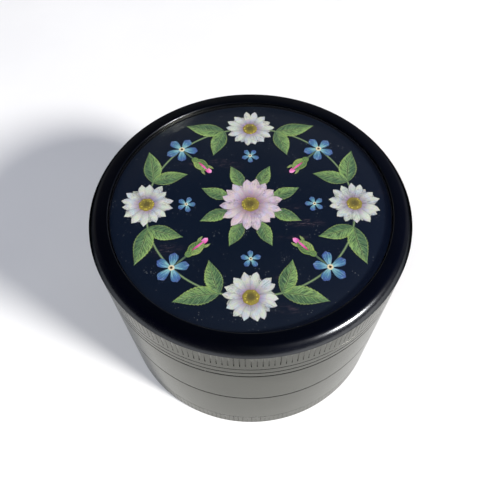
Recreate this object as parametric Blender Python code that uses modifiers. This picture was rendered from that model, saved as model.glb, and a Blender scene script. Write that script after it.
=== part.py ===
"""Four-piece hand grinder for dried herbs and spices, 63 mm, with an inlaid lid.

The body is a plain cylinder made of four turned parts that stack and screw
together: a shallow bottom cup, a storage chamber with a sifting screen, a
grinding chamber with upright teeth, and a lid with hanging teeth.  The lid
turns on the neck of the grinding chamber, on a plastic slip ring, and is held
there by a pair of magnets.

Units are metres.  The origin is at the centre of the underside and +Z is up.
"""

import math

import bmesh
import bpy
from mathutils import Matrix, Vector

MM = 0.001

# ---------------------------------------------------------------- dimensions
R_BODY = 31.5 * MM          # outer radius of all four parts
Z_TOP = 44.4 * MM           # flat of the lid rim
SEAM = 0.3 * MM             # visible gap between two parts
Z_SEAM_CUP = 4.95 * MM      # bottom cup / storage chamber
Z_SEAM_STORE = 19.9 * MM    # storage chamber / grinding chamber
Z_SEAM_LID = 33.54 * MM     # grinding chamber / lid
Z_EDGE = 42.84 * MM         # where the side ends and the rounded top edge starts
GROOVES = ((37.25 * MM, 0.34 * MM, 0.12 * MM), (35.39 * MM, 0.46 * MM, 0.24 * MM))  # height, width, depth
GAP = 0.3 * MM              # room between parts that touch on the object

# lid rim and the recess that holds the decorated disc
R_RIM_FLAT_OUT = 30.2 * MM
R_RIM_FLAT_IN = 27.9 * MM
R_RECESS = 27.6 * MM
Z_RECESS = 41.6 * MM
Z_PLATE = 39.8 * MM         # underside of the lid plate

# neck of the grinding chamber, and the lid skirt round it
R_NECK_OUT = 28.3 * MM
R_BORE = 26.0 * MM          # inside of neck, collar and cup
Z_NECK_TOP = 39.0 * MM
R_SKIRT_IN = 28.75 * MM
R_RING_SEAT = 30.1 * MM     # counterbore in the lid for the slip ring
Z_RING_SEAT = 34.9 * MM

# chamber floor
Z_FLOOR_TOP = 26.5 * MM
Z_FLOOR_UNDER = 24.0 * MM

# two-start screw threads between the lower three parts
PITCH = 1.75 * MM           # from one ridge to the next
STARTS = 2
LEAD = PITCH * STARTS       # rise in one turn
R_MALE_ROOT = 27.7 * MM
R_MALE_CREST = 28.5 * MM
R_FEMALE_ROOT = 28.9 * MM
R_FEMALE_CREST = 28.1 * MM
RIDGE_BASE = 0.62 * MM      # axial width of a ridge at its root
RIDGE_CREST = 0.30 * MM     # and at its crest

# screen and what holds it
Z_SCREEN_LEDGE = 11.2 * MM
R_SCREEN_SEAT = 28.4 * MM
R_STORE_BORE = 27.0 * MM
SCREEN_T = 0.3 * MM

# teeth, in rings that pass between each other
RING_PITCH = 3.7 * MM
R_RING_1 = 9.2 * MM
TOOTH_RADIAL = 1.42 * MM    # half size of the diamond section
TOOTH_ALONG = 2.15 * MM
TOOTH_TAPER = 0.80          # tip size against root size
TOOTH_CLEAR = 0.8 * MM      # tip to the opposite face
LID_RINGS = ((0, 5, 0.0), (2, 8, 11.0), (4, 12, 4.0))          # ring, teeth, first angle
CHAMBER_RINGS = ((1, 6, 20.0), (3, 10, 0.0))
HOLE_RINGS = ((1, 6, 50.0), (2, 8, 4.5), (3, 10, 18.0))        # ring, holes, first angle
HOLE_R = 1.9 * MM

# magnets
MAGNET_R = 3.5 * MM
MAGNET_T = 2.0 * MM
POST_R = 5.2 * MM
Z_LID_POST = 34.5 * MM      # lower end of the lid's post
Z_BOSS = 33.5 * MM          # upper end of the chamber's boss

STEPS = 60                  # facets in one turn
THREAD_STEPS = 60
HOLE_STEPS = 10

NAME = "hand_grinder"


# ------------------------------------------------------------------ tidy start
for obj in list(bpy.data.objects):
    bpy.data.objects.remove(obj, do_unlink=True)
for old in list(bpy.data.collections):
    bpy.data.collections.remove(old)

parts = bpy.data.collections.new(NAME)
cutters = bpy.data.collections.new(NAME + "_cutters")
bpy.context.scene.collection.children.link(parts)
bpy.context.scene.collection.children.link(cutters)


# ------------------------------------------------------------------- materials
def material(name, colour, roughness, metallic=0.0, alpha=1.0):
    mat = bpy.data.materials.new(name)
    mat.use_nodes = True
    shader = mat.node_tree.nodes["Principled BSDF"]
    shader.inputs["Base Color"].default_value = (*colour, 1.0)
    shader.inputs["Roughness"].default_value = roughness
    shader.inputs["Metallic"].default_value = metallic
    shader.inputs["Alpha"].default_value = alpha
    mat.diffuse_color = (*colour, alpha)
    return mat


def black(name):
    return material(name, (0.012, 0.013, 0.016), 0.22, 1.0)


# --------------------------------------------------------------------- helpers
def place(obj, collection, mat=None):
    collection.objects.link(obj)
    if mat is not None:
        obj.data.materials.append(mat)
    return obj


def shade(obj, angle=35.0):
    obj.data.shade_smooth()
    obj.data.set_sharp_from_angle(angle=math.radians(angle))


def turned(name, profile, mat, steps=STEPS, collection=parts):
    """A turned solid from points (r, z), listed down the outer side first.

    A profile that starts and ends on the axis is left open there; any other is
    closed into a ring.
    """
    on_axis = profile[0][0] == 0.0 and profile[-1][0] == 0.0
    mesh = bpy.data.meshes.new(name)
    bm = bmesh.new()
    verts = [bm.verts.new((r, 0.0, z)) for r, z in profile]
    for a, b in zip(verts, verts[1:]):
        bm.edges.new((a, b))
    if not on_axis:
        bm.edges.new((verts[-1], verts[0]))
    bm.to_mesh(mesh)
    bm.free()
    obj = place(bpy.data.objects.new(name, mesh), collection, mat)
    screw = obj.modifiers.new("turn", "SCREW")
    screw.axis = "Z"
    screw.angle = math.tau
    screw.steps = steps
    screw.render_steps = steps
    screw.use_merge_vertices = True
    screw.merge_threshold = 1e-6
    screw.use_smooth_shade = True
    return obj


def as_cutter(obj):
    obj.hide_render = True
    obj.display_type = "WIRE"
    return obj


def boolean(target, tool, operation):
    mod = target.modifiers.new(operation.lower() + "_" + tool.name, "BOOLEAN")
    mod.operation = operation
    mod.solver = "EXACT"
    mod.object = tool
    return mod


def arc(cx, cz, rx, rz, start, end, n):
    """Points on an elliptical arc, in degrees, both ends included."""
    out = []
    for i in range(n + 1):
        a = math.radians(start + (end - start) * i / n)
        out.append((cx + rx * math.cos(a), cz + rz * math.sin(a)))
    return out


def thread(name, r_root, r_crest, z_low, z_high, phase):
    """Helical ridges from z_low to z_high, right-handed, one for each start.

    The ridges reach 0.35 mm into the wall they stand on, so that a union
    joins them to it.
    """
    inward = r_crest < r_root
    r_in_wall = r_root + (0.35 * MM if inward else -0.35 * MM)
    slope = (RIDGE_BASE - RIDGE_CREST) / abs(r_crest - r_root)
    half_root = RIDGE_BASE / 2 + slope * 0.35 * MM / 2
    half_crest = RIDGE_CREST / 2
    rise = z_high - z_low - RIDGE_BASE
    turns = rise / LEAD
    n = max(8, round(turns * THREAD_STEPS))
    mesh = bpy.data.meshes.new(name)
    bm = bmesh.new()
    for s in range(STARTS):
        a0 = phase + math.tau * s / STARTS
        z0 = z_low + RIDGE_BASE / 2
        corners = (
            (r_in_wall, z0 - half_root),
            (r_in_wall, z0 + half_root),
            (r_crest, z0 + half_crest),
            (r_crest, z0 - half_crest),
        )
        verts = [
            bm.verts.new((r * math.cos(a0), r * math.sin(a0), z)) for r, z in corners
        ]
        edges = [bm.edges.new((verts[i], verts[(i + 1) % 4])) for i in range(4)]
        bmesh.ops.spin(
            bm,
            geom=verts + edges,
            cent=(0.0, 0.0, 0.0),
            axis=(0.0, 0.0, 1.0),
            dvec=(0.0, 0.0, rise / n),
            angle=math.tau * turns,
            steps=n,
            use_duplicate=False,
        )
    bmesh.ops.remove_doubles(bm, verts=bm.verts, dist=1e-7)
    bmesh.ops.holes_fill(bm, edges=[e for e in bm.edges if e.is_boundary], sides=4)
    bmesh.ops.recalc_face_normals(bm, faces=bm.faces)
    bm.to_mesh(mesh)
    bm.free()
    return as_cutter(place(bpy.data.objects.new(name, mesh), cutters))


def polar(r, degrees):
    a = math.radians(degrees)
    return r * math.cos(a), r * math.sin(a)


def teeth(name, rings, z_root, z_tip):
    """Diamond teeth in rings, from a root inside the plate to a narrower tip."""
    mesh = bpy.data.meshes.new(name)
    bm = bmesh.new()
    height = abs(z_tip - z_root)
    up = z_tip > z_root
    for ring, count, first in rings:
        r = R_RING_1 + ring * RING_PITCH
        for i in range(count):
            angle = first + 360.0 * i / count
            x, y = polar(r, angle)
            matrix = (
                Matrix.Translation((x, y, (z_root + z_tip) / 2))
                @ Matrix.Rotation(math.radians(angle), 4, "Z")
                @ Matrix.Diagonal((TOOTH_RADIAL, TOOTH_ALONG, 1.0, 1.0))
            )
            bmesh.ops.create_cone(
                bm,
                cap_ends=True,
                cap_tris=False,
                segments=4,
                radius1=1.0 if up else TOOTH_TAPER,
                radius2=TOOTH_TAPER if up else 1.0,
                depth=height,
                matrix=matrix,
            )
    bm.to_mesh(mesh)
    bm.free()
    return as_cutter(place(bpy.data.objects.new(name, mesh), cutters))


def holes(name, rings, z_low, z_high):
    mesh = bpy.data.meshes.new(name)
    bm = bmesh.new()
    for ring, count, first in rings:
        r = R_RING_1 + ring * RING_PITCH
        for i in range(count):
            x, y = polar(r, first + 360.0 * i / count)
            bmesh.ops.create_cone(
                bm,
                cap_ends=True,
                cap_tris=False,
                segments=HOLE_STEPS,
                radius1=HOLE_R,
                radius2=HOLE_R,
                depth=z_high - z_low,
                matrix=Matrix.Translation((x, y, (z_low + z_high) / 2)),
            )
    bm.to_mesh(mesh)
    bm.free()
    return as_cutter(place(bpy.data.objects.new(name, mesh), cutters))


# ------------------------------------------------------------------ bottom cup
CUP_TOP = Z_SEAM_CUP - SEAM / 2
CUP_NECK_TOP = 9.2 * MM
CUP_FLOOR = 1.8 * MM
BOWL_FILLET = 3.0 * MM
EDGE = 0.45 * MM
bottom_cup = turned(
    "bottom_cup",
    [(0.0, CUP_FLOOR)]
    + arc(R_BORE - BOWL_FILLET, CUP_FLOOR + BOWL_FILLET, BOWL_FILLET, BOWL_FILLET, -90, 0, 3)
    + [
        (R_BORE, CUP_NECK_TOP),
        (R_MALE_ROOT, CUP_NECK_TOP),
        (R_MALE_ROOT, CUP_TOP),
        (R_BODY, CUP_TOP),
        (R_BODY, EDGE),
        (R_BODY - EDGE, 0.0),
        (0.0, 0.0),
    ],
    black("black_anodised_cup"),
)
cup_thread = thread("cup_thread", R_MALE_ROOT, R_MALE_CREST, 5.15 * MM, 9.05 * MM, 0.0)
boolean(bottom_cup, cup_thread, "UNION")

# ------------------------------------------------------------- storage chamber
STORE_LOW = Z_SEAM_CUP + SEAM / 2
STORE_TOP = Z_SEAM_STORE - SEAM / 2
STORE_THREAD_LOW = 15.0 * MM
STORE_SEAT_LOW = 9.4 * MM
storage_chamber = turned(
    "storage_chamber",
    [
        (R_FEMALE_ROOT, STORE_TOP),
        (R_BODY, STORE_TOP),
        (R_BODY, STORE_LOW),
        (R_FEMALE_ROOT, STORE_LOW),
        (R_FEMALE_ROOT, STORE_SEAT_LOW),
        (R_SCREEN_SEAT, STORE_SEAT_LOW),
        (R_SCREEN_SEAT, Z_SCREEN_LEDGE),
        (R_STORE_BORE, Z_SCREEN_LEDGE),
        (R_STORE_BORE, STORE_THREAD_LOW),
        (R_FEMALE_ROOT, STORE_THREAD_LOW),
    ],
    black("black_anodised_storage"),
)
# each female thread sits half a pitch from the male one that turns in it
HALF_PITCH_TURN = math.pi / STARTS
store_thread_low = thread(
    "store_thread_low", R_FEMALE_ROOT, R_FEMALE_CREST, 5.25 * MM, 9.15 * MM,
    HALF_PITCH_TURN + math.tau * (0.10 * MM) / LEAD,
)
store_thread_top = thread(
    "store_thread_top", R_FEMALE_ROOT, R_FEMALE_CREST, 15.3 * MM, 19.5 * MM, HALF_PITCH_TURN
)
boolean(storage_chamber, store_thread_low, "UNION")
boolean(storage_chamber, store_thread_top, "UNION")

# --------------------------------------------------- screen and its press ring
screen_top = Z_SCREEN_LEDGE - GAP
screen = turned(
    "sifting_screen",
    [
        (0.0, screen_top),
        (R_SCREEN_SEAT - GAP, screen_top),
        (R_SCREEN_SEAT - GAP, screen_top - SCREEN_T),
        (0.0, screen_top - SCREEN_T),
    ],
    material("stainless_mesh", (0.52, 0.52, 0.50), 0.35, 1.0),
    steps=48,
)
ring_top = screen_top - SCREEN_T - GAP
screen_ring = turned(
    "screen_ring",
    [
        (R_SCREEN_SEAT - 1.8 * MM, ring_top),
        (R_SCREEN_SEAT - GAP, ring_top),
        (R_SCREEN_SEAT - GAP, STORE_SEAT_LOW + 0.1 * MM),
        (R_SCREEN_SEAT - 1.8 * MM, STORE_SEAT_LOW + 0.1 * MM),
    ],
    material("press_ring_steel", (0.42, 0.42, 0.43), 0.3, 1.0),
    steps=48,
)

# ------------------------------------------------------------ grinding chamber
CHAMBER_LOW = Z_SEAM_STORE + SEAM / 2
CHAMBER_SHOULDER = Z_SEAM_LID - SEAM / 2
COLLAR_LOW = 15.5 * MM
magnet_pocket_r = MAGNET_R + GAP
pocket_low = Z_BOSS - MAGNET_T - 2 * GAP
grinding_chamber = turned(
    "grinding_chamber",
    [
        (0.0, pocket_low),
        (magnet_pocket_r, pocket_low),
        (magnet_pocket_r, Z_BOSS),
        (POST_R, Z_BOSS),
        (POST_R + 0.5 * MM, Z_FLOOR_TOP),
        (R_BORE, Z_FLOOR_TOP),
        (R_BORE, Z_NECK_TOP),
        (R_NECK_OUT, Z_NECK_TOP),
        (R_NECK_OUT, CHAMBER_SHOULDER),
        (R_BODY, CHAMBER_SHOULDER),
        (R_BODY, CHAMBER_LOW),
        (R_MALE_ROOT, CHAMBER_LOW),
        (R_MALE_ROOT, COLLAR_LOW),
        (R_BORE, COLLAR_LOW),
        (R_BORE, Z_FLOOR_UNDER),
        (0.0, Z_FLOOR_UNDER),
    ],
    black("black_anodised_chamber"),
)
collar_thread = thread(
    "collar_thread", R_MALE_ROOT, R_MALE_CREST, 15.65 * MM, 19.85 * MM,
    math.tau * (0.35 * MM) / LEAD,
)
drain_holes = holes("drain_holes", HOLE_RINGS, Z_FLOOR_UNDER - 1 * MM, Z_FLOOR_TOP + 1 * MM)
chamber_teeth = teeth(
    "chamber_teeth", CHAMBER_RINGS, Z_FLOOR_TOP - 1.0 * MM, Z_PLATE - TOOTH_CLEAR
)
boolean(grinding_chamber, collar_thread, "UNION")
boolean(grinding_chamber, chamber_teeth, "UNION")
boolean(grinding_chamber, drain_holes, "DIFFERENCE")

chamber_magnet = turned(
    "chamber_magnet",
    [
        (0.0, Z_BOSS - GAP),
        (MAGNET_R, Z_BOSS - GAP),
        (MAGNET_R, Z_BOSS - GAP - MAGNET_T),
        (0.0, Z_BOSS - GAP - MAGNET_T),
    ],
    material("nickel_plate_chamber", (0.62, 0.61, 0.59), 0.2, 1.0),
    steps=32,
)

# --------------------------------------------------------------- slip ring, lid
slip_ring = turned(
    "slip_ring",
    [
        (R_NECK_OUT + GAP, Z_RING_SEAT - GAP),
        (R_RING_SEAT - GAP, Z_RING_SEAT - GAP),
        (R_RING_SEAT - GAP, CHAMBER_SHOULDER + GAP),
        (R_NECK_OUT + GAP, CHAMBER_SHOULDER + GAP),
    ],
    material("white_nylon", (0.80, 0.79, 0.75), 0.45),
    steps=48,
)

LID_LOW = Z_SEAM_LID + SEAM / 2
lid_pocket_top = Z_LID_POST + MAGNET_T + 2 * GAP
lid = turned(
    "lid",
    [(0.0, Z_RECESS), (R_RECESS, Z_RECESS), (R_RECESS, Z_TOP - 0.3 * MM), (R_RIM_FLAT_IN, Z_TOP)]
    + arc(R_RIM_FLAT_OUT, Z_EDGE, R_BODY - R_RIM_FLAT_OUT, Z_TOP - Z_EDGE, 90, 0, 4)
    + [
        point
        for height, width, depth in GROOVES
        for point in (
            (R_BODY, height + width / 2),
            (R_BODY - depth, height),
            (R_BODY, height - width / 2),
        )
    ]
    + [
        (R_BODY, LID_LOW),
        (R_RING_SEAT, LID_LOW),
        (R_RING_SEAT, Z_RING_SEAT),
        (R_SKIRT_IN, Z_RING_SEAT),
        (R_SKIRT_IN, Z_PLATE),
        (POST_R + 0.5 * MM, Z_PLATE),
        (POST_R, Z_LID_POST),
        (magnet_pocket_r, Z_LID_POST),
        (magnet_pocket_r, lid_pocket_top),
        (0.0, lid_pocket_top),
    ],
    black("black_anodised_lid"),
)
lid_teeth = teeth("lid_teeth", LID_RINGS, Z_PLATE + 1.0 * MM, Z_FLOOR_TOP + TOOTH_CLEAR)
boolean(lid, lid_teeth, "UNION")

lid_magnet = turned(
    "lid_magnet",
    [
        (0.0, Z_LID_POST + GAP + MAGNET_T),
        (MAGNET_R, Z_LID_POST + GAP + MAGNET_T),
        (MAGNET_R, Z_LID_POST + GAP),
        (0.0, Z_LID_POST + GAP),
    ],
    material("nickel_plate_lid", (0.62, 0.61, 0.59), 0.2, 1.0),
    steps=32,
)

# ------------------------------------------- glue pad, decorated disc and cover
GLUE_T = 0.3 * MM
DISC_T = 0.8 * MM
COVER_T = 0.5 * MM
glue_low = Z_RECESS + GAP
disc_low = glue_low + GLUE_T + GAP
cover_low = disc_low + DISC_T + GAP


def flat_disc(name, radius, low, thickness, mat, steps=STEPS):
    return turned(
        name,
        [(0.0, low + thickness), (radius, low + thickness), (radius, low), (0.0, low)],
        mat,
        steps=steps,
    )


inlay_glue = flat_disc(
    "inlay_glue_pad", 26.4 * MM, glue_low, GLUE_T, material("glue_film", (0.55, 0.53, 0.45), 0.6),
    steps=48,
)
inlay_disc = flat_disc(
    "inlay_disc", 27.1 * MM, disc_low, DISC_T, material("pearl_print", (0.010, 0.014, 0.035), 0.3)
)
inlay_cover = flat_disc(
    "inlay_cover", 27.25 * MM, cover_low, COVER_T,
    material("clear_acrylic", (0.9, 0.92, 0.94), 0.05, alpha=0.12),
)

# -------------------------------------------------------------------- grouping
root = bpy.data.objects.new("grinder_root", None)
root.empty_display_size = 0.01
parts.objects.link(root)
for obj in list(parts.objects):
    if obj is not root:
        obj.parent = root
        shade(obj)
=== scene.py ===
"""Looks for the four-piece hand grinder: metal, threads, teeth, screen, inlaid lid, light and camera."""

import math

import bpy
import numpy as np
from mathutils import Matrix, Vector
from mathutils.geometry import delaunay_2d_cdt


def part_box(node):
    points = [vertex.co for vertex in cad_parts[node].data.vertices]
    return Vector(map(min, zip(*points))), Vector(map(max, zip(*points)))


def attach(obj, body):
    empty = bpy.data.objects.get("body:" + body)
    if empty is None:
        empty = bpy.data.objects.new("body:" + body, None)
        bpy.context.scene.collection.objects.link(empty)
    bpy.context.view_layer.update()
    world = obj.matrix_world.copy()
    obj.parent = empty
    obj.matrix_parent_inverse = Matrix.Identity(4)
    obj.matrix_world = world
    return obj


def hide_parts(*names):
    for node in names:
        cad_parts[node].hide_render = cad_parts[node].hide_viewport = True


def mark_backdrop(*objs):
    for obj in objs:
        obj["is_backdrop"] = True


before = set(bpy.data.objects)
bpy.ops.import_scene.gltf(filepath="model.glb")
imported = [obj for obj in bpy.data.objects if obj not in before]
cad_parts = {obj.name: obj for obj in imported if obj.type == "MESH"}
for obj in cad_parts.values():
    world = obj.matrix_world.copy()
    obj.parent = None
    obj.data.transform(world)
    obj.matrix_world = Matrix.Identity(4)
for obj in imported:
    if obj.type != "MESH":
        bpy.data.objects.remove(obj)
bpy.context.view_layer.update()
MM = 0.001
TAU = math.tau
scene = bpy.context.scene
scene.view_settings.view_transform = "Standard"
scene.view_settings.look = "None"

# ------------------------------------------------------------------ dimensions
R = 31.5                 # everything below is in millimetres until it becomes a mesh
Z_TOP, Z_EDGE = 44.4, 42.84
Z_CUP, Z_STORE, Z_LID = 4.95, 19.9, 33.54     # seams
SEAM = 0.3
R_RECESS, Z_RECESS, Z_PLATE = 27.6, 41.6, 39.8
PITCH, STARTS = 1.75, 2
LEAD = PITCH * STARTS


# --------------------------------------------------------------------- camera
def make_camera():
    radius = 31.5 * MM
    dist, elev, pitch = 3.22418 * radius, 0.924888, 1.011476
    roll, yaw = -0.007972, -0.002531
    place = Vector((0.0, -dist * math.cos(elev), dist * math.sin(elev) + 42.84 * MM))
    fw = Vector((math.sin(yaw) * math.cos(pitch), math.cos(yaw) * math.cos(pitch), -math.sin(pitch)))
    right = Vector((math.cos(yaw), -math.sin(yaw), 0.0))
    up = right.cross(fw)
    r = math.cos(roll) * right + math.sin(roll) * up
    u = -math.sin(roll) * right + math.cos(roll) * up
    cam = bpy.data.objects.new("camera", bpy.data.cameras.new("camera"))
    cam.data.sensor_fit = "HORIZONTAL"
    cam.data.sensor_width = 36.0
    cam.data.lens = 512.823 / 500.0 * 36.0
    cam.data.clip_start = 0.005
    cam.data.clip_end = 20.0
    m = Matrix((r, u, -fw)).transposed().to_4x4()
    m.translation = place
    cam.matrix_world = m
    scene.collection.objects.link(cam)
    scene.camera = cam


make_camera()


# --------------------------------------------------------------------- lights
def aim(obj, direction):
    obj.rotation_euler = Vector(direction).to_track_quat("-Z", "Y").to_euler()


def from_angles(azimuth, elevation):
    a, e = math.radians(azimuth), math.radians(elevation)
    return Vector((math.cos(e) * math.cos(a), math.cos(e) * math.sin(a), math.sin(e)))


def area_light(name, azimuth, elevation, distance, size, power, colour=(1, 1, 1), shape="DISK"):
    data = bpy.data.lights.new(name, "AREA")
    data.shape = shape
    data.size = size
    data.energy = power
    data.color = colour
    light = bpy.data.objects.new(name, data)
    d = from_angles(azimuth, elevation)
    light.location = d * distance + Vector((0, 0, 0.03))
    aim(light, -d)
    scene.collection.objects.link(light)
    return light


area_light("key", -31, 33, 1.3, 0.26, 27.0, (1.0, 0.975, 0.94))
area_light("fill", -128, 48, 1.4, 1.5, 16.0, (0.95, 0.97, 1.0)).visible_glossy = False

# The room: a pale horizon, and above it a dark ceiling that the polished top mirrors.
world = bpy.data.worlds.new("studio")
scene.world = world
world.use_nodes = True
wn, wl = world.node_tree.nodes, world.node_tree.links
bg = wn["Background"]
coord = wn.new("ShaderNodeTexCoord")
sep = wn.new("ShaderNodeSeparateXYZ")
wl.new(coord.outputs["Generated"], sep.inputs[0])


def world_ramp(socket, scale, shift, stops):
    m = wn.new("ShaderNodeMath")
    m.operation = "MULTIPLY_ADD"
    wl.new(socket, m.inputs[0])
    m.inputs[1].default_value, m.inputs[2].default_value = scale, shift
    r = wn.new("ShaderNodeValToRGB")
    els = r.color_ramp.elements
    while len(els) < len(stops):
        els.new(0.5)
    for el, (pos, col) in zip(els, stops):
        el.position, el.color = pos, (*col, 1)
    wl.new(m.outputs[0], r.inputs[0])
    return r.outputs[0]


across = world_ramp(sep.outputs["X"], 0.5, 0.5, [(0.30, (0.003, 0.006, 0.042)), (0.5, (0.004, 0.012, 0.032)), (0.68, (0.024, 0.038, 0.125))])
upward = world_ramp(sep.outputs["Z"], 1.0, 0.0, [(0.0, (0.50, 0.50, 0.50)), (0.26, (0.34, 0.34, 0.34)), (0.46, (0.19, 0.18, 0.155)), (0.66, (0.115, 0.108, 0.090)), (0.77, (0.0, 0.0, 0.0))])
behind = world_ramp(sep.outputs["Y"], 0.5, 0.5, [(0.0, (0.07, 0.07, 0.07)), (0.58, (0.09, 0.09, 0.09)), (0.80, (1.0, 1.0, 1.0))])
rear = wn.new("ShaderNodeMix")
rear.data_type, rear.blend_type = "RGBA", "MULTIPLY"
rear.inputs["Factor"].default_value = 1.0
wl.new(upward, rear.inputs["A"])
wl.new(behind, rear.inputs["B"])
upward = rear.outputs["Result"]
both = wn.new("ShaderNodeMix")
both.data_type, both.blend_type = "RGBA", "ADD"
both.inputs["Factor"].default_value = 1.0
wl.new(across, both.inputs["A"])
wl.new(upward, both.inputs["B"])
wl.new(both.outputs["Result"], bg.inputs["Color"])


# ------------------------------------------------------------ material helpers
class Tree:
    """A short way to write a node tree."""

    def __init__(self, name):
        self.mat = bpy.data.materials.new(name)
        self.mat.use_nodes = True
        self.nt = self.mat.node_tree
        self.bsdf = self.nt.nodes["Principled BSDF"]
        self.out = self.nt.nodes["Material Output"]

    def node(self, kind, **props):
        n = self.nt.nodes.new(kind)
        for k, v in props.items():
            setattr(n, k, v)
        return n

    def put(self, socket, value):
        if isinstance(value, bpy.types.NodeSocket):
            self.nt.links.new(value, socket)
        else:
            socket.default_value = value
        return self

    def math(self, op, a, b=0.0, c=0.0, clamp=False):
        n = self.node("ShaderNodeMath", operation=op, use_clamp=clamp)
        for s, v in zip(n.inputs, (a, b, c)):
            self.put(s, v)
        return n.outputs[0]

    def mix(self, fac, a, b, mode="MIX"):
        n = self.node("ShaderNodeMix", data_type="RGBA", blend_type=mode)
        self.put(n.inputs["Factor"], fac)
        self.put(n.inputs["A"], a if isinstance(a, bpy.types.NodeSocket) else (*a, 1.0))
        self.put(n.inputs["B"], b if isinstance(b, bpy.types.NodeSocket) else (*b, 1.0))
        return n.outputs["Result"]

    def ramp(self, fac, stops, interpolation="LINEAR"):
        n = self.node("ShaderNodeValToRGB")
        n.color_ramp.interpolation = interpolation
        els = n.color_ramp.elements
        while len(els) < len(stops):
            els.new(0.5)
        for el, (pos, col) in zip(els, stops):
            el.position = pos
            el.color = (*col, 1.0) if len(col) == 3 else col
        self.put(n.inputs[0], fac)
        return n.outputs[0]

    def smooth(self, value, low, high, to_low=0.0, to_high=1.0):
        n = self.node("ShaderNodeMapRange", interpolation_type="SMOOTHSTEP")
        self.put(n.inputs["Value"], value)
        n.inputs["From Min"].default_value = low
        n.inputs["From Max"].default_value = high
        n.inputs["To Min"].default_value = to_low
        n.inputs["To Max"].default_value = to_high
        return n.outputs["Result"]

    def attr(self, name):
        return self.node("ShaderNodeAttribute", attribute_name=name).outputs["Fac"]

    def attr_colour(self, name):
        return self.node("ShaderNodeAttribute", attribute_name=name).outputs["Color"]

    def position(self):
        """The point in the object's own coordinates, in millimetres."""
        tc = self.node("ShaderNodeTexCoord")
        vm = self.node("ShaderNodeVectorMath", operation="SCALE")
        self.put(vm.inputs[0], tc.outputs["Object"])
        vm.inputs["Scale"].default_value = 1000.0
        return vm.outputs[0]

    def split(self, vector):
        n = self.node("ShaderNodeSeparateXYZ")
        self.put(n.inputs[0], vector)
        return n.outputs

    def join(self, x=0.0, y=0.0, z=0.0):
        n = self.node("ShaderNodeCombineXYZ")
        for s, v in zip(n.inputs, (x, y, z)):
            self.put(s, v)
        return n.outputs[0]

    def noise(self, vector, scale, detail=2.0, rough=0.5, out=0, dims="3D"):
        n = self.node("ShaderNodeTexNoise", noise_dimensions=dims)
        self.put(n.inputs["Vector"], vector)
        n.inputs["Scale"].default_value = scale
        n.inputs["Detail"].default_value = detail
        n.inputs["Roughness"].default_value = rough
        return n.outputs[out]

    def voronoi(self, vector, scale, out="Distance", feature="F1", randomness=1.0):
        n = self.node("ShaderNodeTexVoronoi", feature=feature)
        self.put(n.inputs["Vector"], vector)
        n.inputs["Scale"].default_value = scale
        n.inputs["Randomness"].default_value = randomness
        return n.outputs[out]

    def bump(self, height, distance, strength=1.0, normal=None):
        n = self.node("ShaderNodeBump")
        self.put(n.inputs["Height"], height)
        n.inputs["Distance"].default_value = distance
        n.inputs["Strength"].default_value = strength
        if normal is not None:
            self.put(n.inputs["Normal"], normal)
        return n.outputs[0]

    def set(self, **values):
        names = {"base": "Base Color", "rough": "Roughness", "metal": "Metallic", "normal": "Normal",
                 "ior": "IOR", "coat": "Coat Weight", "coat_rough": "Coat Roughness", "alpha": "Alpha",
                 "spec": "Specular IOR Level", "sheen": "Sheen Weight", "trans": "Transmission Weight",
                 "aniso": "Anisotropic", "subsurf": "Subsurface Weight"}
        for k, v in values.items():
            if k == "base" and not isinstance(v, bpy.types.NodeSocket):
                v = (*v, 1.0)
            self.put(self.bsdf.inputs[names[k]], v)
        return self


def polar_coords(t, p):
    """Radius, angle and height of a point in millimetres."""
    s = t.split(p)
    r = t.math("SQRT", t.math("ADD", t.math("MULTIPLY", s[0], s[0]), t.math("MULTIPLY", s[1], s[1])))
    a = t.math("ARCTAN2", s[1], s[0])
    return r, a, s[2]


# ------------------------------------------------------------------- materials
def black_metal(name, tint=(0.079, 0.080, 0.072), rough=0.20, marks=1.0, dust=1.0, edge=0.75):
    """Gloss black anodised aluminium: fine turning marks, dust, bare nicks where the edge is worn."""
    t = Tree(name)
    p = t.position()
    r, a, z = polar_coords(t, p)
    along = t.join(t.math("MULTIPLY", r, 9.0), t.math("MULTIPLY", z, 9.0), t.math("MULTIPLY", a, 1.3))
    lines = t.noise(along, 1.0, 3.0, 0.6)
    slow = t.noise(p, 0.12, 2.0, 0.5)
    cloud = t.noise(p, 0.9, 3.0, 0.6)
    roughness = t.math("ADD", t.math("MULTIPLY", t.math("SUBTRACT", lines, 0.5), 0.10 * marks), rough)
    roughness = t.math("ADD", roughness, t.math("MULTIPLY", t.math("SUBTRACT", cloud, 0.5), 0.06))
    base = t.mix(t.smooth(slow, 0.3, 0.7), [c * 0.93 for c in tint], [c * 1.07 for c in tint])
    base = t.mix(t.smooth(lines, 0.35, 0.75, 0.0, 0.10 * marks), base, [c * 1.5 for c in tint])
    # dust: a few pale specks
    specks = t.voronoi(p, 1.15, "Distance")
    speck_on = t.math("LESS_THAN", specks, t.math("MULTIPLY", t.smooth(t.noise(p, 0.55, 1.0), 0.50, 0.72), 0.055))
    base = t.mix(t.math("MULTIPLY", speck_on, 0.55 * dust), base, (0.42, 0.41, 0.38))
    wear = t.attr("wear")
    wear_on = t.smooth(t.math("ADD", wear, t.math("MULTIPLY", t.math("SUBTRACT", t.noise(p, 3.0, 3.0), 0.5), 0.8)), 0.45, 0.62)
    base = t.mix(wear_on, base, (0.70, 0.69, 0.66))
    roughness = t.math("ADD", roughness, t.math("MULTIPLY", wear_on, 0.18))
    height = t.math("ADD", t.math("MULTIPLY", lines, 0.5 * marks), t.math("MULTIPLY", cloud, 0.15))
    t.bsdf.inputs["Specular Tint"].default_value = (edge, edge, edge * 0.97, 1.0)
    t.set(base=base, rough=roughness, metal=1.0, normal=t.bump(height, 0.00001, 0.55))
    return t.mat


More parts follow.
